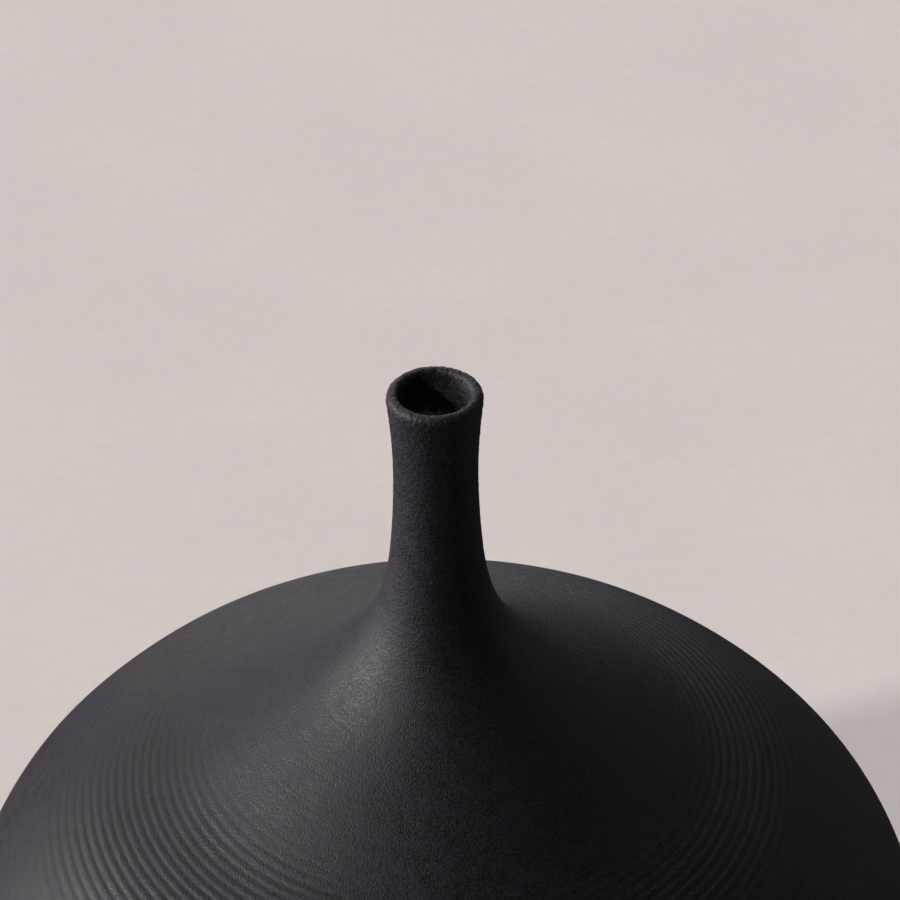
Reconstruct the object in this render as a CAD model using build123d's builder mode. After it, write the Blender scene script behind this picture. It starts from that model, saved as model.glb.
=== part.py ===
from build123d import *
from collections import namedtuple
from math import cos, radians, sin
import os

# A stoneware bottle vase: a wide, low-shouldered body with a slender neck, round about the Z axis.
# It is thrown in four pieces of clay, which are stuck together with slip along stepped joints.
# A thin coat of glaze lines the inside.  Sizes are in millimetres, and the vase stands on z = 0.

# Levels
rim_level = 256.0  # the widest circle of the lip
foot_height = 7.0  # the underside of the body

# Outlines of the outside, from the top down: (radius, drop below the rim)
neck_outline = [
    (11.0, 0.0),
    (10.0, 12.0),
    (9.8, 21.0),
    (10.4, 36.0),
    (11.7, 48.0),
    (14.9, 59.5),
    (21.1, 69.7),
    (29.5, 78.2),
]
shoulder_outline = [
    (53.6, 96.0),
    (64.0, 102.4),
    (74.7, 107.4),
    (85.3, 112.9),
    (94.7, 120.4),
    (103.0, 129.0),
    (110.5, 138.7),
    (116.6, 151.0),
]
bowl_outline = [
    (118.3, 187.0),
    (111.0, 208.0),
    (95.0, 228.5),
]
foot_edge = (67.0, rim_level - foot_height)
lip_slope = -5.9  # degrees from straight down; negative where the outside draws in
foot_slope = -62.0

# Joints between the thrown pieces: where the outside crosses them, and the wall there
Joint = namedtuple("Joint", "radius drop slope wall")
neck_joint = Joint(radius=43.0, drop=88.4, slope=54.0, wall=5.0)
belly_joint = Joint(radius=120.0, drop=170.0, slope=0.0, wall=6.0)
slip = 0.8  # thickness of the slip between two pieces
tongue = 4.0  # how far the inner half of a wall runs on under the outer half
ABOVE, BELOW = -1, 1  # the two sides of a joint

# The mouth and the bore of the neck
crest_radius = 9.3
crest_rise = 2.6  # the lip's crest above the rim
mouth_radius = 8.3
mouth_rise = 1.9
bore_radius = 7.2
bore_top = 5.5  # drop below the rim, as are all the drops here
bore_bottom = 44.0
flare_inside = [
    (9.6, 58.0),
    (16.2, 71.5),
    (27.0, 82.0),
]

# The floor and the foot
floor_wall = 7.0
floor_radius = 46.0
foot_radius = 65.0
foot_width = 9.0
foot_round = 2.0
key_width = 2.4  # the ridge on the foot that sits in a groove under the body
key_height = 1.6

glaze = 0.3
glaze_shares = [step / 10 for step in range(1, 10)]

os.makedirs("parts", exist_ok=True)


def place(radius, drop):
    """A point of the section, from its radius and its drop below the rim."""
    return Vector(radius, rim_level - drop)


def downhill(slope):
    """The direction down the outside, for a slope in degrees from straight down."""
    return Vector(sin(radians(slope)), -cos(radians(slope)))


def inward(slope):
    """The direction from the outside into the wall."""
    return Vector(-cos(radians(slope)), -sin(radians(slope)))


def joint_point(joint, run, depth):
    """A point that lies a run downhill of a joint and a depth inside the wall."""
    return place(joint.radius, joint.drop) + downhill(joint.slope) * run + inward(joint.slope) * depth


def joint_face(joint, side):
    """The stepped face of one side of a joint, from the outside of the wall to the inside."""
    gap = side * slip / 2
    step = joint.wall / 2 - gap
    return [
        joint_point(joint, gap, 0),
        joint_point(joint, gap, step),
        joint_point(joint, gap + tongue, step),
        joint_point(joint, gap + tongue, joint.wall),
    ]


def line_inside(skin, start, end, slopes, walls, shares):
    """The inside of a wall: a curve a wall's thickness from the skin, between two given ends."""
    between = []
    for share in shares:
        wall = walls[0] + (walls[1] - walls[0]) * share
        along = skin % share
        between.append(skin @ share + Vector(along.Y, -along.X) * wall)
    return Spline(start, *between, end, tangents=[downhill(slope) for slope in slopes])


def glaze_line(wall, slopes):
    """The face of the glaze on one stretch of wall."""
    start, end = [wall @ share + inward(slope) * glaze for share, slope in zip((0, 1), slopes)]
    return line_inside(wall, start, end, slopes, walls=(glaze, glaze), shares=glaze_shares)


# Where the outside of each piece starts and ends
neck_end = joint_face(neck_joint, ABOVE)
shoulder_start = joint_face(neck_joint, BELOW)
shoulder_end = joint_face(belly_joint, ABOVE)
bowl_start = joint_face(belly_joint, BELOW)

# The outside and the inside of each piece are drawn once here, because the pieces and the glaze share them
neck_skin = Spline(
    *[place(*point) for point in neck_outline],
    neck_end[0],
    tangents=[downhill(lip_slope), downhill(neck_joint.slope)],
)
shoulder_skin = Spline(
    shoulder_start[0],
    *[place(*point) for point in shoulder_outline],
    shoulder_end[0],
    tangents=[downhill(neck_joint.slope), downhill(belly_joint.slope)],
)
bowl_skin = Spline(
    bowl_start[0],
    *[place(*point) for point in bowl_outline],
    place(*foot_edge),
    tangents=[downhill(belly_joint.slope), downhill(foot_slope)],
)
bore_wall = Line(place(bore_radius, bore_top), place(bore_radius, bore_bottom))
flare_wall = Spline(
    place(bore_radius, bore_bottom),
    *[place(*point) for point in flare_inside],
    neck_end[-1],
    tangents=[downhill(0), downhill(neck_joint.slope)],
)
shoulder_wall = line_inside(
    shoulder_skin,
    shoulder_start[-1],
    shoulder_end[-1],
    slopes=(neck_joint.slope, belly_joint.slope),
    walls=(neck_joint.wall, belly_joint.wall),
    shares=(0.2, 0.35, 0.5, 0.65, 0.8),
)
floor_edge = Vector(floor_radius, foot_height + floor_wall)
bowl_wall = line_inside(
    bowl_skin,
    bowl_start[-1],
    floor_edge,
    slopes=(belly_joint.slope, -90),
    walls=(belly_joint.wall, floor_wall),
    shares=(0.25, 0.45, 0.65, 0.82),
)
floor_line = Line(floor_edge, Vector(0, foot_height + floor_wall))

# The groove under the body, and the ridge on the foot that sits in it with slip all round
foot_middle = foot_radius - foot_width / 2
groove_outer = foot_middle + key_width / 2 + slip
groove_inner = foot_middle - key_width / 2 - slip
groove_top = foot_height + key_height
ridge_outer = foot_middle + key_width / 2
ridge_inner = foot_middle - key_width / 2
foot_top = foot_height - slip
underside = [
    (foot_edge[0], foot_height),
    (groove_outer, foot_height),
    (groove_outer, groove_top),
    (groove_inner, groove_top),
    (groove_inner, foot_height),
]
foot_upper_side = [
    (foot_radius, foot_top),
    (ridge_outer, foot_top),
    (ridge_outer, foot_top + key_height),
    (ridge_inner, foot_top + key_height),
    (ridge_inner, foot_top),
    (foot_radius - foot_width, foot_top),
]

# Neck: lip, straight bore and the flare that spreads to the joint
with BuildPart() as neck:
    with BuildSketch(Plane.XZ):
        with BuildLine():
            add(neck_skin)
            Polyline(*neck_end)
            add(flare_wall)
            add(bore_wall)
            mouth_edge = place(mouth_radius, -mouth_rise)
            Line(bore_wall @ 0, mouth_edge)
            Spline(
                mouth_edge,
                place(crest_radius, -crest_rise),
                neck_skin @ 0,
                tangents=[(0.3, 1), downhill(lip_slope)],
            )
        make_face()
    revolve(axis=Axis.Z)
neck.part.label = "neck"
export_step(neck.part, "parts/neck.step")

# Shoulder: the dome from the foot of the neck to the belly
with BuildPart() as shoulder:
    with BuildSketch(Plane.XZ):
        with BuildLine():
            add(shoulder_skin)
            Polyline(*shoulder_end)
            add(shoulder_wall)
            Polyline(*shoulder_start)
        make_face()
    revolve(axis=Axis.Z)
shoulder.part.label = "shoulder"
export_step(shoulder.part, "parts/shoulder.step")

# Bowl: the lower half of the body with its floor, grooved underneath for the foot
with BuildPart() as bowl:
    with BuildSketch(Plane.XZ):
        with BuildLine():
            add(bowl_skin)
            Polyline(*underside, (0, foot_height))
            Line((0, foot_height), floor_line @ 1)
            add(floor_line)
            add(bowl_wall)
            Polyline(*bowl_start)
        make_face()
    revolve(axis=Axis.Z)
bowl.part.label = "bowl"
export_step(bowl.part, "parts/bowl.step")

# Foot ring: a turned ring with rounded lower edges and a ridge on top
with BuildPart() as foot_ring:
    with BuildSketch(Plane.XZ):
        with BuildLine():
            Polyline(
                *foot_upper_side,
                (foot_radius - foot_width, 0),
                (foot_radius, 0),
                close=True,
            )
        make_face()
    revolve(axis=Axis.Z)
    fillet(foot_ring.edges().group_by(Axis.Z)[0], radius=foot_round)
foot_ring.part.label = "foot_ring"
export_step(foot_ring.part, "parts/foot_ring.step")

# The slip in the two stepped joints
for name, joint in (("neck_slip", neck_joint), ("belly_slip", belly_joint)):
    with BuildPart() as slip_ring:
        with BuildSketch(Plane.XZ):
            with BuildLine():
                Polyline(*joint_face(joint, ABOVE), *reversed(joint_face(joint, BELOW)), close=True)
            make_face()
        revolve(axis=Axis.Z)
    slip_ring.part.label = name
    export_step(slip_ring.part, f"parts/{name}.step")

# The slip between the foot ring and the body
with BuildPart() as foot_slip:
    with BuildSketch(Plane.XZ):
        with BuildLine():
            Polyline(
                *foot_upper_side,
                (foot_radius - foot_width, foot_height),
                *reversed(underside[1:]),
                (foot_radius, foot_height),
                close=True,
            )
        make_face()
    revolve(axis=Axis.Z)
foot_slip.part.label = "foot_slip"
export_step(foot_slip.part, "parts/foot_slip.step")

# Glaze: a thin coat on the whole inside below the mouth
with BuildPart() as inner_glaze:
    with BuildSketch(Plane.XZ):
        with BuildLine():
            add(bore_wall)
            add(flare_wall)
            Line(flare_wall @ 1, shoulder_wall @ 0)
            add(shoulder_wall)
            Line(shoulder_wall @ 1, bowl_wall @ 0)
            add(bowl_wall)
            add(floor_line)
            flare_glaze = glaze_line(flare_wall, slopes=(0, neck_joint.slope))
            shoulder_glaze = glaze_line(shoulder_wall, slopes=(neck_joint.slope, belly_joint.slope))
            bowl_glaze = glaze_line(bowl_wall, slopes=(belly_joint.slope, -90))
            Polyline(bore_wall @ 0, (bore_radius - glaze, rim_level - bore_top), flare_glaze @ 0)
            Line(flare_glaze @ 1, shoulder_glaze @ 0)
            Line(shoulder_glaze @ 1, bowl_glaze @ 0)
            Polyline(bowl_glaze @ 1, (0, foot_height + floor_wall + glaze), floor_line @ 1)
        make_face()
    revolve(axis=Axis.Z)
inner_glaze.part.label = "inner_glaze"
export_step(inner_glaze.part, "parts/inner_glaze.step")
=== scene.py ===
import math

import bpy
import numpy as np
from mathutils import Matrix, Vector, noise


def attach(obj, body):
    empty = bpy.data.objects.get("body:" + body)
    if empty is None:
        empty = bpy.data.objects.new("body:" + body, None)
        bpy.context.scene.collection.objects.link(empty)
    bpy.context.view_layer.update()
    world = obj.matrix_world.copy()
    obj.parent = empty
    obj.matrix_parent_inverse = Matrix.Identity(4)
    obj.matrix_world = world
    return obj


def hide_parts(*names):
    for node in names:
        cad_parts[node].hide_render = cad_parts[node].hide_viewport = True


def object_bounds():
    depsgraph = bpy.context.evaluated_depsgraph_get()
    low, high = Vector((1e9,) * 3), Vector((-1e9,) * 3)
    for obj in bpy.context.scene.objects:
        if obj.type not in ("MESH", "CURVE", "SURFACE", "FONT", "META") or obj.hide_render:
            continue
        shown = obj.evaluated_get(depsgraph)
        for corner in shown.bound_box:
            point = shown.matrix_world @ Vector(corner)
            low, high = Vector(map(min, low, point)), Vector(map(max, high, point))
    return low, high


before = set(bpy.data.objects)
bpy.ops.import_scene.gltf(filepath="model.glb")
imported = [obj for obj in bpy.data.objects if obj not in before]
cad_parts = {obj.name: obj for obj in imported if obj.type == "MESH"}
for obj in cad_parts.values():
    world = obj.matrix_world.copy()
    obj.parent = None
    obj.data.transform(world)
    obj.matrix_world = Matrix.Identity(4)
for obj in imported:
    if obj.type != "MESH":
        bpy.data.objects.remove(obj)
cad_low, cad_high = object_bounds()

# A wheel-thrown stoneware bottle in metres, standing on z = 0 and round about the Z axis.
# The outside is worked out as one skin, from the outlines that the CAD nodes have, and gets the marks
# of the wheel.  It is then divided between the pieces of clay and slip at their joints.

MM = 0.001
CLOSE = 1e-6  # metres; a point no further than this from a level or a plane is on it
TURNS = 256  # points round the vase
TURN_ANGLES = np.linspace(0, 2 * math.pi, TURNS, endpoint=False)
CORNER = math.radians(30)  # an outline turns more than this at a corner
SHARP = math.radians(50)  # an edge between two faces is sharp above this angle

# Steps from one row of points to the next
NECK_STEP = 0.33 * MM
SHOULDER_STEP = 0.36 * MM
BOWL_STEP = 0.6 * MM
SLIP_STEP = 0.4 * MM
FOOT_STEP = 0.4 * MM
UNDERSIDE_STEP = 0.8 * MM
MIDDLE_RADIUS = 0.8 * MM  # of the innermost row of a floor, which a point on the axis closes

# Throwing rings: one shallow groove that winds round the shoulder, deepest a third of the way down it.
# All strengths here and below are (height in mm, share of the full depth) pairs.
RING_PITCH = 2.08 * MM
RING_START = 64 * MM  # the radius of one turn of the groove at the side that faces +X
RING_LEAST_ADVANCE = 0.7  # on a steep side the turns are a pitch divided by this apart along the skin
RING_DEPTH = 0.15 * MM
RING_NARROWNESS = 1.5  # the power that makes the groove narrower than the ridge beside it
RING_WANDER = 0.3  # how much the groove's depth changes on its way round
RING_LEAN = 0.4  # how much deeper it is at the front, at -Y, and shallower at the back
RING_STRENGTHS = [
    (7, 0.25),
    (60, 0.15),
    (86, 0.15),
    (112, 0.25),
    (130, 0.5),
    (139, 1),
    (150, 0.9),
    (157, 0.35),
    (163, 0),
]

# Fine lines from the rib, which are strongest on the neck
LINE_PITCH = 0.75 * MM
LINE_DEPTH = 0.055 * MM
LINE_STRENGTHS = [(86, 0.3), (150, 0.5), (175, 1)]

# The grain of the clay, which is open on the lip and the neck
GRAIN_SIZE = 0.75 * MM
GRAIN_DEPTH = 0.45 * MM
GRAIN_COARSE = 0.35  # the share of blobs of that size in the depth
GRAIN_FINE = 0.15  # the share of blobs of half that size
GRAIN_STRENGTHS = [(172, 0), (186, 0.15), (205, 0.3), (240, 0.4), (254, 1)]

# The hand's unevenness
SWAY_SIZE = 30 * MM
SWAY_DEPTH = 0.15 * MM

# The foot and the underside
FOOT_GRAIN_SIZE = 2 * MM
FOOT_GRAIN_DEPTH = 0.12 * MM
FOOT_GRAIN_COARSE = 0.3
FOOT_GRAIN_FINE = 0.2
FOOT_STRENGTHS = [(5, 1), (6, 0.2)]
TRIM_PITCH = 3.2 * MM  # of the spiral that the trimming tool leaves under the floor
TRIM_DEPTH = 0.25 * MM

# The edge of the glaze in the mouth
GLAZE_EDGE_DROP = 1.0 * MM  # how far the edge wanders below its highest point
GLAZE_EDGE_WAVES = 2.4  # waves of the edge, in noise steps per unit circle
GLAZE_EDGE_RIPPLE = 0.2  # the size of its ripples, as a share of the waves
GLAZE_EDGE_BROAD = 0.35  # the share of the waves in the drop
GLAZE_EDGE_NARROW = 0.15  # the share of the ripples
GLAZE_EDGE_FADE = 7 * MM  # how far below the edge the glaze still moves with it
GLAZE_EDGE_STEP = 0.35 * MM
GLAZE_EDGE_POINTS = 6  # on the rounded edge, with both of its ends
GLAZE_THIN = 0.8 * MM  # down to here below its edge the glaze is thin, and black clay shows through
GLAZE_RAGGED = 5 * MM  # how far the pools in the glaze move that border up and down

# Colours, linear
CLAY_DARK = (0.0025, 0.0019, 0.0031, 1)
CLAY_PALE = (0.021, 0.0162, 0.0243, 1)
SLIP_DARK = (0.002, 0.0017, 0.0025, 1)
SLIP_PALE = (0.021, 0.018, 0.0245, 1)
# pale grog and grains, and also the colour of the painted light that makes the neck paler
GROG_AND_PAINTED_LIGHT_COLOUR = (0.1, 0.09, 0.1, 1)
# painted shade in the pits
PAINTED_PIT_SHADE = (0.003, 0.0028, 0.003, 1)
WORN_COLOUR = (0.05, 0.042, 0.038, 1)
GLAZE_DARK = (0.02, 0.014, 0.009, 1)
GLAZE_PALE = (0.5, 0.38, 0.25, 1)
GROUND_DARK = (0.86, 0.778, 0.743, 1)
GROUND_PALE = (0.92, 0.833, 0.795, 1)
WORLD_COLOUR = (0.98, 0.97, 1.0, 1)
WORLD_POWER = 0.045

# The look of the clay: its blobs, and the cells that may each hold a dot
CLOUD_SIZE = 26 * MM
MOTTLE_SIZE = 4 * MM
SAND_SIZE = 0.44 * MM
SILT_SIZE = 0.25 * MM
FINE_LINE_PITCH = 0.9 * MM
GROG_CELL = 1.5 * MM
GROG_RADIUS = 0.24 * MM
GRAINS_CELL = 0.6 * MM
GRAINS_RADIUS = 0.2 * MM
PIT_CELL = 9 * MM
PIT_RADIUS = 0.5 * MM
DOT_EDGE = 0.3  # inside this share of its radius a dot is full
CLAY_TONES = (0.435, 0.565)  # noise at the darkest and at the palest clay
CLAY_COARSENESS = (0.42, 0.58)  # noise at the smoothest and at the roughest clay
CLAY_ROUGHNESS = (0.42, 0.68)
CLAY_SAND_DEPTH = 0.15 * MM
SLIP_SAND_DEPTH = 0.18 * MM
GROG_SHOWS = 0.35  # how far grog turns the clay to its own colour
PAINTED_NECK_LIGHT_FOOT = 165 * MM  # from here up to the foot of the lip the clay is painted a little paler, as painted light on the neck
PAINTED_NECK_LIGHT_SHOWS = 0.1
GRAINS_FOOT = 160 * MM  # from here up to the crest of the lip pale grains show more and more: real grains, and also painted light that makes the neck paler
GRAINS_AND_PAINTED_LIGHT_SHOW = (0.1, 0.7)
LIP_FOOT = 200 * MM  # from here up to the crest of the lip the sand stands out more and more
LIP_SAND = 1.25  # how many times deeper it is at the crest
WORN_HEIGHTS = (1.2 * MM, 0.1 * MM)  # where the foot starts to be rubbed, and where it fully is
WORN_SHOWS = 0.8
WORN_PATCHES = (0.4, 0.6)  # noise at the least and at the most rubbed patches
WORN_LEAST = 0.3

# The look of the glaze and of the ground
POOL_SIZE = 2.5 * MM
POOL_TONES = (0.42, 0.58)  # noise at the darkest and at the palest glaze
POOL_DEPTH = 0.12 * MM
SPECK_SIZE = 0.7 * MM
SPECK_TONES = (0.55, 0.7)  # noise where a dark speck starts, and where it is full
SPECK_SHOWS = 0.8
THIN_SHOWS = 0.9
GLAZE_COARSENESS = (0.1, 0.8)
GLAZE_ROUGHNESS = (0.34, 0.6)
GROUND_BROAD = 90 * MM
GROUND_FINE = 6 * MM
GROUND_TONES = (0.35, 0.65)
GROUND_COARSENESS = (0.3, 0.7)
GROUND_ROUGHNESS = (0.75, 0.85)

# The camera: how far right of, in front of and above the top of the vase it is, and where it looks
CAMERA_RIGHT = 3.3 * MM
CAMERA_BACK = 676.1 * MM
CAMERA_ABOVE = 489.1 * MM
CAMERA_PITCH = 36.78  # degrees down
CAMERA_ROLL = -0.56  # degrees
CAMERA_LENS = 149.4  # millimetres
SENSOR_WIDTH = 36  # millimetres
GROUND_REACH = 30.0  # metres from the vase to each side
GROUND_GAP = 0.05 * MM  # keeps the ground apart from the foot that stands on it

# The colour sockets of a Mix node have the same names as its other sockets, so they go by number
MIX_FIRST = 6
MIX_SECOND = 7
MIX_RESULT = 2


# ---------------------------------------------------------------- outlines from the frame


def section(node):
    """The closed outline of a round node, as (radius, height) points that run down its outside.

    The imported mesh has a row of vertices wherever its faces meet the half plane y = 0.  The walk follows
    the edges between them, and crosses a flat face to the nearest loose end.
    """
    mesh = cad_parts[node].data
    on_plane = {}
    for vertex in mesh.vertices:
        x, y, z = vertex.co
        if abs(y) < CLOSE and x > -CLOSE:
            on_plane[vertex.index] = (round(x, 6), round(z, 6))
    links = {point: set() for point in on_plane.values()}
    for edge in mesh.edges:
        first, second = (on_plane.get(index) for index in edge.vertices)
        if first and second and first != second:
            links[first].add(second)
            links[second].add(first)
    ends = {point for point, others in links.items() if len(others) < 2}
    here = max(ends or links, key=lambda point: (point[1], point[0]))
    walk = [here]
    seen = {here}
    while len(walk) < len(links):
        ahead = [point for point in links[here] if point not in seen]
        loose = [point for point in ends or links if point not in seen]
        here = min(ahead or loose, key=lambda point: math.dist(point, here))
        walk.append(here)
        seen.add(here)
    outline = np.array(walk)
    radius, height = outline.T
    area = np.sum(radius * np.roll(height, -1) - np.roll(radius, -1) * height)
    return outline if area < 0 else outline[::-1]


def part_of(outline, start, end):
    """The points of a closed outline from the one nearest to start round to the one nearest to end."""
    first = np.argmin(np.linalg.norm(outline - start, axis=1))
    looped = np.roll(outline, -first, axis=0)
    last = np.argmin(np.linalg.norm(looped - end, axis=1))
    return looped[: last + 1]


def widest(points):
    return points[np.argmax(points[:, 0])]


def highest(points):
    return points[np.argmax(points[:, 1])]


def on_level(points, height):
    return points[np.abs(points[:, 1] - height) < CLOSE]


def distances(points):
    """How far along a line each of its points is."""
    steps = np.linalg.norm(np.diff(points, axis=0), axis=1)
    return np.concatenate([[0], np.cumsum(steps)])


def smooth_line(points, places):
    """Points at the given distances along a natural cubic spline through an outline's points."""
    knots = distances(points)
    gaps = np.diff(knots)
    slopes = np.diff(points, axis=0) / gaps[:, None]
    system = np.eye(len(points))
    turns = np.zeros_like(points)
    for row in range(1, len(points) - 1):
        system[row, row - 1 : row + 2] = gaps[row - 1], 2 * (gaps[row - 1] + gaps[row]), gaps[row]
        turns[row] = 6 * (slopes[row] - slopes[row - 1])
    bends = np.linalg.solve(system, turns)
    span = np.clip(np.searchsorted(knots, places, side="right") - 1, 0, len(gaps) - 1)
    gap = gaps[span][:, None]
    after = (places - knots[span])[:, None] / gap
    before = 1 - after
    bow = (before**3 - before) * bends[span] + (after**3 - after) * bends[span + 1]
    return points[span] * before + points[span + 1] * after + bow * gap**2 / 6


def even_places(start, end, step):
    """Distances from start to end, evenly spaced at about the given step."""
    return np.linspace(start, end, max(1, round((end - start) / step)) + 1)


def inward(line):
    """The unit vectors from a line's points into the piece, for a line that runs down its outside."""
    along = np.gradient(line, axis=0)
    along /= np.linalg.norm(along, axis=1)[:, None]
    return np.stack([along[:, 1], -along[:, 0]], axis=1)


# ---------------------------------------------------------------- relief


def noise_at(points, size):
    """Smooth noise from -1 to 1 at each point, with blobs of the given size."""
    flat = points.reshape(-1, 3) / size
    values = [noise.noise(point) for point in flat.tolist()]
    return np.array(values).reshape(points.shape[:-1])


def spun(line):
    """The rows of points that a line of (radius, height) points makes round the axis."""
    radius, height = line[:, 0, None], line[:, 1, None]
    x = radius * np.cos(TURN_ANGLES)
    y = radius * np.sin(TURN_ANGLES)
    return np.stack([x, y, height + 0 * x], axis=2)


def sunk(line, depth):
    """The rows that a line makes round the axis, each point moved into the piece by its depth."""
    rows = spun(line)
    into = inward(line)
    rows[:, :, 0] += into[:, 0, None] * depth * np.cos(TURN_ANGLES)
    rows[:, :, 1] += into[:, 0, None] * depth * np.sin(TURN_ANGLES)
    rows[:, :, 2] += into[:, 1, None] * depth
    return rows


def strength(line, shares):
    """How strong a mark is at each point of a line, from (height in mm, share) pairs."""
    heights, values = zip(*shares)
    return np.interp(line[:, 1] / MM, heights, values)[:, None]


def ring_depth(line):
    """The spiral groove, whose turns are evenly spaced outwards, and downwards where the side is steep."""
    steps = np.abs(np.diff(line, axis=0))
    advance = np.maximum(steps[:, 0], RING_LEAST_ADVANCE * np.hypot(steps[:, 0], steps[:, 1]))
    turns = np.concatenate([[0], np.cumsum(advance)]) / RING_PITCH
    lip = np.argmax(line[:, 1])
    turns -= turns[lip + np.argmin(np.abs(line[lip : len(line) // 2, 0] - RING_START))]
    groove = 0.5 + 0.5 * np.cos(2 * math.pi * (turns[:, None] - TURN_ANGLES / (2 * math.pi)))
    return RING_DEPTH * strength(line, RING_STRENGTHS) * groove**RING_NARROWNESS


def line_depth(line):
    """Fine lines all the way round, of uneven depth."""
    waves = [0.5 + 0.5 * noise.noise((place, 0.5, 0.5)) for place in distances(line) / LINE_PITCH]
    return LINE_DEPTH * strength(line, LINE_STRENGTHS) * np.array(waves)[:, None]


def grain_depth(rows, line):
    """The open grain of the clay, half of it in front of the skin and half behind."""
    coarse = noise_at(rows, GRAIN_SIZE)
    fine = noise_at(rows, GRAIN_SIZE / 2)
    return GRAIN_DEPTH * strength(line, GRAIN_STRENGTHS) * (GRAIN_COARSE * coarse + GRAIN_FINE * fine)


# ---------------------------------------------------------------- meshes


def build(name, node, rows, runs=None, closed=True):
    """A piece in place of a CAD node, from rows of points that run down its outside and up its inside.

    A closed piece goes round a hole.  The first and last rows of any other piece are closed by a point
    on the axis.  The distance along the skin is kept with each vertex, for the material's fine lines.
    """
    count = len(rows)
    points = rows.reshape(-1, 3)
    runs = np.zeros(len(points)) if runs is None else np.repeat(runs, TURNS)
    grid = np.arange(len(points)).reshape(count, TURNS)
    beside = np.roll(grid, -1, axis=1)
    below = np.roll(grid, -1, axis=0)
    quads = np.stack([grid, below, np.roll(below, -1, axis=1), beside], axis=2)
    if closed:
        faces = quads.reshape(-1, 4).tolist()
    else:
        faces = quads[:-1].reshape(-1, 4).tolist()
        top, bottom = len(points), len(points) + 1
        points = np.vstack([points, [(0, 0, rows[0, 0, 2]), (0, 0, rows[-1, 0, 2])]])
        runs = np.concatenate([runs, [runs[0], runs[-1]]])
        faces += [(top, *pair) for pair in zip(grid[0].tolist(), beside[0].tolist())]
        faces += [(bottom, *pair) for pair in zip(beside[-1].tolist(), grid[-1].tolist())]
    mesh = bpy.data.meshes.new(name)
    mesh.from_pydata(points.tolist(), [], faces)
    mesh.shade_smooth()
    mesh.set_sharp_from_angle(angle=SHARP)
    mesh.attributes.new("run", "FLOAT", "POINT").data.foreach_set("value", runs)
    piece = bpy.data.objects.new(name, mesh)
    bpy.context.collection.objects.link(piece)
    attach(piece, "root")
    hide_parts(node)
    return piece


outlines = {node: section(node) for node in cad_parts}

# The skin, from the top of the glaze in the mouth over the lip and down the outside to the foot
glaze_level = highest(outlines["inner_glaze"])[1]
glaze_top = widest(on_level(outlines["inner_glaze"], glaze_level))
neck_end = highest(outlines["neck_slip"])
shoulder_start = highest(outlines["shoulder"])
shoulder_end = widest(outlines["shoulder"])
bowl_start = widest(outlines["bowl"])
under_level = outlines["bowl"][:, 1].min()
bowl_end = widest(on_level(outlines["bowl"], under_level))
borders = [glaze_top, neck_end, shoulder_start, shoulder_end, bowl_start, bowl_end]
skin_steps = {
    "neck": NECK_STEP,
    "neck_slip": SLIP_STEP,
    "shoulder": SHOULDER_STEP,
    "belly_slip": SLIP_STEP,
    "bowl": BOWL_STEP,
}


def make_skin():
    """The skin's rows of points, the distance of each row along it, and the rows of each piece."""
    through = np.vstack(
        [
            part_of(outlines["neck"], glaze_top, neck_end),
            part_of(outlines["shoulder"], shoulder_start, shoulder_end),
            part_of(outlines["bowl"], bowl_start, bowl_end),
        ]
    )
    knots = distances(through)
    ends = [knots[np.argmin(np.linalg.norm(through - border, axis=1))] for border in borders]
    places = np.array([0.0])
    owned = {}
    for (node, step), start, end in zip(skin_steps.items(), ends, ends[1:]):
        own = even_places(start, end, step)
        owned[node] = slice(len(places) - 1, len(places) - 1 + len(own))
        places = np.concatenate([places, own[1:]])
    line = smooth_line(through, places)
    rows = spun(line)
    wander = RING_WANDER * noise_at(rows, SWAY_SIZE / 2)
    lean = RING_LEAN * np.sin(TURN_ANGLES)
    depth = ring_depth(line) * (1 + wander - lean)
    depth += line_depth(line) + grain_depth(rows, line)
    depth += SWAY_DEPTH * (0.5 + 0.5 * noise_at(rows, SWAY_SIZE))
    rows = sunk(line, depth)
    rows[:, :, 2] = np.minimum(rows[:, :, 2], cad_high[2])
    return rows, places, owned


skin, skin_runs, owned_rows = make_skin()


def skin_piece(name, node, before=None, after=None):
    """A piece with its share of the skin, and the hidden lines before and after it in its outline."""
    own = owned_rows[node]
    rows = [skin[own]]
    runs = [skin_runs[own]]
    if before is not None:
        rows.insert(0, before)
        runs.insert(0, np.full(len(before), skin_runs[own][0]))
    rows.append(after)
    runs.append(np.full(len(after), skin_runs[own][-1]))
    return build(name, node, np.concatenate(rows), np.concatenate(runs), closed=before is None)


def wall_piece(name, node, start, end):
    """A piece of wall: its share of the skin, from start to end, and the rest of its outline as it is."""
    return skin_piece(name, node, after=spun(part_of(outlines[node], end, start)[1:-1]))


def make_bowl():
    """The bowl: the floor and wall inside, the skin, the groove for the foot, and the trimmed underside."""
    outline = outlines["bowl"]
    low_points = outline[outline[:, 1] < 2 * under_level + MM]  # the floor is as thick as the foot is high
    floor_level = highest(low_points)[1]
    floor_edge = widest(on_level(outline, floor_level))
    inside = part_of(outline, floor_edge, bowl_start)[:-1]
    inside = np.vstack([[MIDDLE_RADIUS, floor_level], inside])
    groove = part_of(outline, bowl_end, floor_edge)[1:-1]
    radii = even_places(MIDDLE_RADIUS, groove[-1, 0], UNDERSIDE_STEP)[::-1]
    under = np.stack([radii, np.full(len(radii), under_level)], axis=1)
    trimmed = 0.5 + 0.5 * np.sin(2 * math.pi * radii[:, None] / TRIM_PITCH - TURN_ANGLES)
    edge_fade = np.clip((radii[0] - radii) / TRIM_PITCH, 0, 1)[:, None]
    uneven = 0.5 + 0.5 * noise_at(spun(under), GRAIN_SIZE * 2)
    depth = edge_fade * (TRIM_DEPTH * trimmed**2 + FOOT_GRAIN_DEPTH * uneven)
    after = np.concatenate([spun(groove[:-1]), sunk(under, depth)])
    return skin_piece("thrown_bowl", "bowl", before=spun(inside), after=after)


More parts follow.
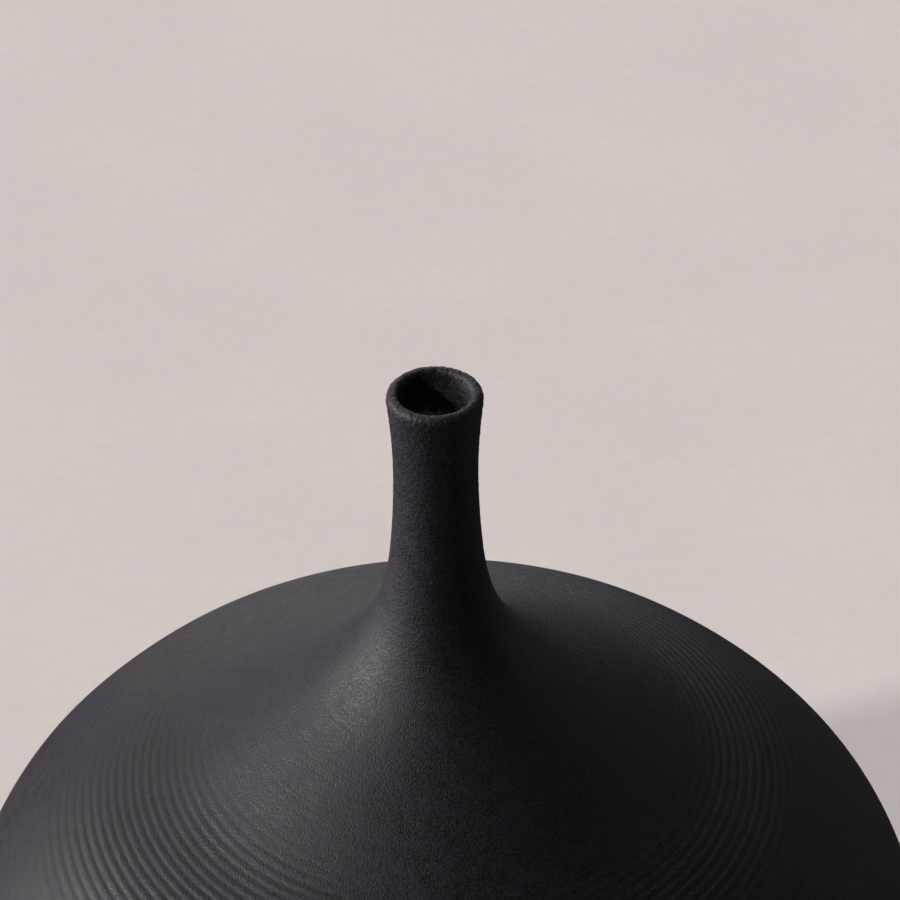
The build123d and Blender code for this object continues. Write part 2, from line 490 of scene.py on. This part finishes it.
def finely(outline):
    """An outline with its smooth stretches, from each corner to the next, in fine steps."""
    before = outline - np.roll(outline, 1, axis=0)
    after = np.roll(outline, -1, axis=0) - outline
    turn = np.arctan2(after[:, 1], after[:, 0]) - np.arctan2(before[:, 1], before[:, 0])
    turn = np.abs((turn + math.pi) % (2 * math.pi) - math.pi)
    corners = np.flatnonzero(turn > CORNER)
    looped = np.roll(outline, -corners[0], axis=0)
    looped = np.vstack([looped, looped[:1]])
    cuts = [*(corners - corners[0]), len(outline)]
    fine = []
    for start, end in zip(cuts, cuts[1:]):
        stretch = looped[start : end + 1]
        fine.append(smooth_line(stretch, even_places(0, distances(stretch)[-1], FOOT_STEP))[:-1])
    return np.vstack(fine)


def foot_piece(name, node):
    """A ring under the body, rough and a little worn below the joint."""
    line = finely(outlines[node])
    rows = spun(line)
    coarse = noise_at(rows, FOOT_GRAIN_SIZE)
    fine = noise_at(rows, FOOT_GRAIN_SIZE / 2)
    depth = strength(line, FOOT_STRENGTHS) * (0.5 + FOOT_GRAIN_COARSE * coarse + FOOT_GRAIN_FINE * fine)
    rows = sunk(line, FOOT_GRAIN_DEPTH * np.maximum(depth, 0))
    rows[:, :, 2] = np.maximum(rows[:, :, 2], cad_low[2])
    return build(name, node, rows)


def make_glaze():
    """The glaze inside, with an edge that wanders round the mouth and thins out against the clay."""
    outline = outlines["inner_glaze"]
    face_top = on_level(outline, glaze_level)[:, 0].min()
    back_end = widest(on_level(outline, outline[:, 1].min()))
    back = part_of(outline, glaze_top, back_end)
    face = part_of(outline, back_end, (face_top, glaze_level))[1:-1]
    thickness = glaze_top[0] - face_top
    heights = even_places(glaze_level - GLAZE_EDGE_FADE, glaze_level - 2 * thickness, GLAZE_EDGE_STEP)
    fine = np.stack([np.full(len(heights), face_top), heights], axis=1)
    quarter = np.linspace(0, math.pi / 2, GLAZE_EDGE_POINTS)[1:-1]
    rounded_radii = face_top + thickness * (1 - np.cos(quarter))
    rounded_heights = glaze_level - 2 * thickness * (1 - np.sin(quarter))
    rounded = np.stack([rounded_radii, rounded_heights], axis=1)
    face_middle = [[MIDDLE_RADIUS, face[0, 1]]]
    back_middle = [[MIDDLE_RADIUS, back_end[1]]]
    line = np.vstack([face_middle, face, fine, rounded, back, back_middle])
    rows = spun(line)
    circle = np.stack([np.cos(TURN_ANGLES), np.sin(TURN_ANGLES), 0 * TURN_ANGLES], axis=1)
    waves = noise_at(circle, 1 / GLAZE_EDGE_WAVES)
    ripples = noise_at(circle, GLAZE_EDGE_RIPPLE / GLAZE_EDGE_WAVES)
    edge = 0.5 + GLAZE_EDGE_BROAD * waves + GLAZE_EDGE_NARROW * ripples
    fade = np.clip(1 - (glaze_level - line[:, 1]) / GLAZE_EDGE_FADE, 0, 1)
    rows[:, :, 2] -= GLAZE_EDGE_DROP * fade[:, None] * edge
    return build("glaze_lining", "inner_glaze", rows, closed=False)


# ---------------------------------------------------------------- materials


class Look:
    """A material's node tree, with short calls that add nodes to it."""

    def __init__(self, name):
        self.material = bpy.data.materials.new(name)
        self.material.use_nodes = True
        self.tree = self.material.node_tree
        self.shader = self.tree.nodes["Principled BSDF"]
        self.place = self.add("ShaderNodeTexCoord").outputs["Object"]

    def feed(self, socket, value):
        """Gives an input socket another node's output, or a value of its own."""
        if isinstance(value, bpy.types.NodeSocket):
            self.tree.links.new(value, socket)
        else:
            socket.default_value = value

    def add(self, kind, inputs=None, **settings):
        node = self.tree.nodes.new(kind)
        for setting, value in settings.items():
            setattr(node, setting, value)
        for name, value in (inputs or {}).items():
            self.feed(node.inputs[name], value)
        return node

    def noise(self, size, detail=2, roughness=0.5, distortion=0.0):
        """Noise from 0 to 1 with blobs of about the given size."""
        values = {"Vector": self.place, "Scale": 1 / size, "Detail": detail, "Roughness": roughness}
        return self.add("ShaderNodeTexNoise", {**values, "Distortion": distortion}).outputs["Fac"]

    def lines(self, pitch, detail):
        """Noise from 0 to 1 that changes only down the skin."""
        run = self.add("ShaderNodeAttribute", attribute_name="run").outputs["Fac"]
        along = self.math("MULTIPLY", run, 1 / pitch)
        values = {"W": along, "Scale": 1.0, "Detail": detail}
        return self.add("ShaderNodeTexNoise", values, noise_dimensions="1D").outputs["Fac"]

    def dots(self, size, radius, share):
        """One at the middle of a share of the cells of the given size, and zero outside each dot."""
        values = {"Vector": self.place, "Scale": 1 / size}
        cells = self.add("ShaderNodeTexVoronoi", values)
        chosen = self.math("LESS_THAN", self.channel(cells.outputs["Color"]), share)
        dot = self.span(cells.outputs["Distance"], radius / size, DOT_EDGE * radius / size, 0, 1)
        return self.math("MULTIPLY", dot, chosen)

    def channel(self, colour):
        return self.add("ShaderNodeSeparateColor", {"Color": colour}).outputs["Red"]

    def level(self):
        """The height above the ground."""
        return self.add("ShaderNodeSeparateXYZ", {"Vector": self.place}).outputs["Z"]

    def math(self, operation, first, second=0.0):
        node = self.add("ShaderNodeMath", operation=operation)
        self.feed(node.inputs[0], first)
        self.feed(node.inputs[1], second)
        return node.outputs[0]

    def span(self, value, low, high, to_low, to_high):
        """The value moved from one range to another, and kept inside it."""
        inputs = {"Value": value, "From Min": low, "From Max": high, "To Min": to_low, "To Max": to_high}
        return self.add("ShaderNodeMapRange", inputs).outputs["Result"]

    def sum(self, shares):
        """The sum of (value, share) pairs."""
        total = 0.0
        for value, share in shares:
            total = self.math("ADD", total, self.math("MULTIPLY", value, share))
        return total

    def mix(self, share, first, second):
        node = self.add("ShaderNodeMix", data_type="RGBA")
        self.feed(node.inputs["Factor"], share)
        self.feed(node.inputs[MIX_FIRST], first)
        self.feed(node.inputs[MIX_SECOND], second)
        return node.outputs[MIX_RESULT]

    def relief(self, height, depth):
        """Bump, where a height of one is as deep as given in metres."""
        bump = self.add("ShaderNodeBump", {"Height": height, "Distance": depth, "Strength": 1.0})
        self.feed(self.shader.inputs["Normal"], bump.outputs["Normal"])

    def set(self, **values):
        for name, value in values.items():
            self.feed(self.shader.inputs[name.replace("_", " ")], value)

    def give(self, piece, slot):
        piece.data.materials.clear()
        piece.data.materials.append(self.material)


def clay_look(name, dark, pale, sand_depth):
    """Dry black clay with sandy grog: mottled, speckled and pitted, and rubbed paler where it stands. The
    pits are painted dark as painted shade, and the neck is painted paler towards the lip as painted light.
    """
    look = Look(name)
    clouds = look.noise(CLOUD_SIZE, detail=4, roughness=0.6)
    mottle = look.noise(MOTTLE_SIZE, detail=3, roughness=0.6)
    sand = look.noise(SAND_SIZE, detail=2, roughness=0.65)
    silt = look.noise(SILT_SIZE, detail=1)
    lines = look.lines(FINE_LINE_PITCH, detail=2)
    grog = look.dots(GROG_CELL, radius=GROG_RADIUS, share=0.3)
    grains = look.dots(GRAINS_CELL, radius=GRAINS_RADIUS, share=0.4)
    pits = look.dots(PIT_CELL, radius=PIT_RADIUS, share=0.14)
    tone = look.sum([(clouds, 0.15), (mottle, 0.15), (sand, 0.7)])
    colour = look.mix(look.span(tone, *CLAY_TONES, 0, 1), dark, pale)
    colour = look.mix(look.math("MULTIPLY", grog, GROG_SHOWS), colour, GROG_AND_PAINTED_LIGHT_COLOUR)
    # Painted light: the clay is painted paler up the neck towards the lip, standing in for light on the
    # neck.
    painted_neck_light = look.span(look.level(), PAINTED_NECK_LIGHT_FOOT, LIP_FOOT, 0, PAINTED_NECK_LIGHT_SHOWS)
    colour = look.mix(painted_neck_light, colour, GROG_AND_PAINTED_LIGHT_COLOUR)
    # Pale grains that show more up the neck: real grains, and also painted light on the neck.
    grains_and_painted_light = look.span(look.level(), GRAINS_FOOT, cad_high[2], *GRAINS_AND_PAINTED_LIGHT_SHOW)
    colour = look.mix(look.math("MULTIPLY", grains, grains_and_painted_light), colour, GROG_AND_PAINTED_LIGHT_COLOUR)
    worn = look.span(look.level(), *WORN_HEIGHTS, 0, WORN_SHOWS)
    patches = look.span(mottle, *WORN_PATCHES, WORN_LEAST, 1)
    colour = look.mix(look.math("MULTIPLY", worn, patches), colour, WORN_COLOUR)
    # Painted shade: the pits are painted dark, standing in for the shade inside them.
    colour = look.mix(pits, colour, PAINTED_PIT_SHADE)
    coarseness = look.sum([(mottle, 0.25), (sand, 0.75)])
    look.set(
        Base_Color=colour,
        Roughness=look.span(coarseness, *CLAY_COARSENESS, *CLAY_ROUGHNESS),
        Specular_IOR_Level=0.33,
    )
    blobs = [(sand, 1.0), (silt, 0.35), (mottle, 0.8), (lines, 0.18)]
    dots = [(grog, 0.3), (grains, 0.4), (pits, -1.2)]
    look.relief(
        look.sum(blobs + dots),
        look.span(look.level(), LIP_FOOT, cad_high[2], sand_depth, LIP_SAND * sand_depth),
    )
    return look


def glaze_look():
    """Thin brown glaze with pale and dark pools and dark specks, with a satin gloss."""
    look = Look("brown_glaze")
    pools = look.noise(POOL_SIZE, detail=4, roughness=0.7)
    specks = look.noise(SPECK_SIZE, detail=2)
    colour = look.mix(look.span(pools, *POOL_TONES, 0, 1), GLAZE_DARK, GLAZE_PALE)
    colour = look.mix(look.span(specks, *SPECK_TONES, 0, SPECK_SHOWS), colour, GLAZE_DARK)
    ragged = look.sum([(look.level(), 1.0), (pools, GLAZE_RAGGED)])
    thin = look.span(ragged, glaze_level, glaze_level + GLAZE_RAGGED / 2 - GLAZE_THIN, 0, THIN_SHOWS)
    colour = look.mix(thin, colour, CLAY_DARK)
    coarseness = look.sum([(specks, 0.3), (thin, 0.7)])
    look.set(
        Base_Color=colour,
        Roughness=look.span(coarseness, *GLAZE_COARSENESS, *GLAZE_ROUGHNESS),
        Specular_IOR_Level=0.4,
    )
    look.relief(look.sum([(pools, 1.0), (specks, 0.4)]), POOL_DEPTH)
    return look


def ground_look():
    """Pale, matte and nearly plain, as the surface in the photograph."""
    look = Look("pale_ground")
    broad = look.noise(GROUND_BROAD, detail=3)
    fine = look.noise(GROUND_FINE, detail=3)
    tone = look.sum([(broad, 0.6), (fine, 0.4)])
    look.set(
        Base_Color=look.mix(look.span(tone, *GROUND_TONES, 0, 1), GROUND_DARK, GROUND_PALE),
        Roughness=look.span(fine, *GROUND_COARSENESS, *GROUND_ROUGHNESS),
        Specular_IOR_Level=0.2,
    )
    return look


neck = wall_piece("thrown_neck", "neck", glaze_top, neck_end)
shoulder = wall_piece("thrown_shoulder", "shoulder", shoulder_start, shoulder_end)
bowl = make_bowl()
foot = foot_piece("turned_foot", "foot_ring")
neck_joint = wall_piece("neck_joint_slip", "neck_slip", neck_end, shoulder_start)
belly_joint = wall_piece("belly_joint_slip", "belly_slip", shoulder_end, bowl_start)
foot_joint = foot_piece("foot_joint_slip", "foot_slip")
lining = make_glaze()

clay = clay_look("black_stoneware", dark=CLAY_DARK, pale=CLAY_PALE, sand_depth=CLAY_SAND_DEPTH)
for piece in (neck, shoulder, bowl, foot):
    clay.give(piece, "black_stoneware")
slip = clay_look("joining_slip", dark=SLIP_DARK, pale=SLIP_PALE, sand_depth=SLIP_SAND_DEPTH)
for piece in (neck_joint, belly_joint, foot_joint):
    slip.give(piece, "joining_slip")
glaze_look().give(lining, "brown_glaze")


# ---------------------------------------------------------------- ground, light and camera


def make_ground():
    """A flat pale ground that reaches past every view.

    Neither its bounced light nor its reflection reaches the vase, because they would brighten the side
    that is nearly black in the photograph.  The lights from below stand in for them.  It casts no shadow
    either, so that those lights can pass it.
    """
    mesh = bpy.data.meshes.new("ground")
    corners = [(-GROUND_REACH, -GROUND_REACH), (GROUND_REACH, -GROUND_REACH), (GROUND_REACH, GROUND_REACH)]
    corners.append((-GROUND_REACH, GROUND_REACH))
    mesh.from_pydata([(x, y, -GROUND_GAP) for x, y in corners], [], [(0, 1, 2, 3)])
    ground = bpy.data.objects.new("ground", mesh)
    bpy.context.collection.objects.link(ground)
    mesh.materials.append(ground_look().material)
    ground.visible_diffuse = False
    ground.visible_glossy = False
    ground.visible_shadow = False


def make_sun(name, azimuth, elevation, spread, power):
    """A soft light from far off; the angles are in degrees, and azimuth goes from +X towards +Y."""
    light = bpy.data.lights.new(name, "SUN")
    light.energy = power
    light.angle = math.radians(spread)
    lamp = bpy.data.objects.new(name, light)
    turn = Matrix.Rotation(math.radians(azimuth + 90), 4, "Z")
    lamp.matrix_world = turn @ Matrix.Rotation(math.radians(90 - elevation), 4, "X")
    bpy.context.collection.objects.link(lamp)


def make_world(colour, power):
    world = bpy.data.worlds.new("studio")
    world.use_nodes = True
    background = world.node_tree.nodes["Background"]
    background.inputs["Color"].default_value = colour
    background.inputs["Strength"].default_value = power
    bpy.context.scene.world = world


def make_camera():
    """The camera in front of the vase, looking down on it past the lip."""
    camera = bpy.data.cameras.new("camera")
    camera.lens = CAMERA_LENS
    camera.sensor_width = SENSOR_WIDTH
    camera.clip_end = 4 * GROUND_REACH
    holder = bpy.data.objects.new("camera", camera)
    place = Vector((CAMERA_RIGHT, -CAMERA_BACK, cad_high[2] + CAMERA_ABOVE))
    tilt = Matrix.Rotation(math.radians(90 - CAMERA_PITCH), 4, "X")
    roll = Matrix.Rotation(math.radians(CAMERA_ROLL), 4, "Z")
    holder.matrix_world = Matrix.Translation(place) @ tilt @ roll
    bpy.context.collection.objects.link(holder)
    bpy.context.scene.camera = holder


make_ground()
make_sun("key", azimuth=172, elevation=14, spread=24, power=4.15)
make_sun("window", azimuth=206, elevation=28, spread=5, power=1.15)
make_sun("back", azimuth=100, elevation=15, spread=50, power=0.84)
make_sun("sky", azimuth=125, elevation=50, spread=40, power=0.27)
make_sun("side", azimuth=25, elevation=10, spread=30, power=0.12)
make_sun("front", azimuth=-80, elevation=58, spread=30, power=0.07)
make_sun("bounce", azimuth=-20, elevation=-60, spread=60, power=0.12)
make_sun("floor_light", azimuth=0, elevation=-90, spread=80, power=0.25)
make_world(WORLD_COLOUR, WORLD_POWER)
make_camera()
bpy.context.scene.view_settings.view_transform = "Standard"

bpy.context.view_layer.update()
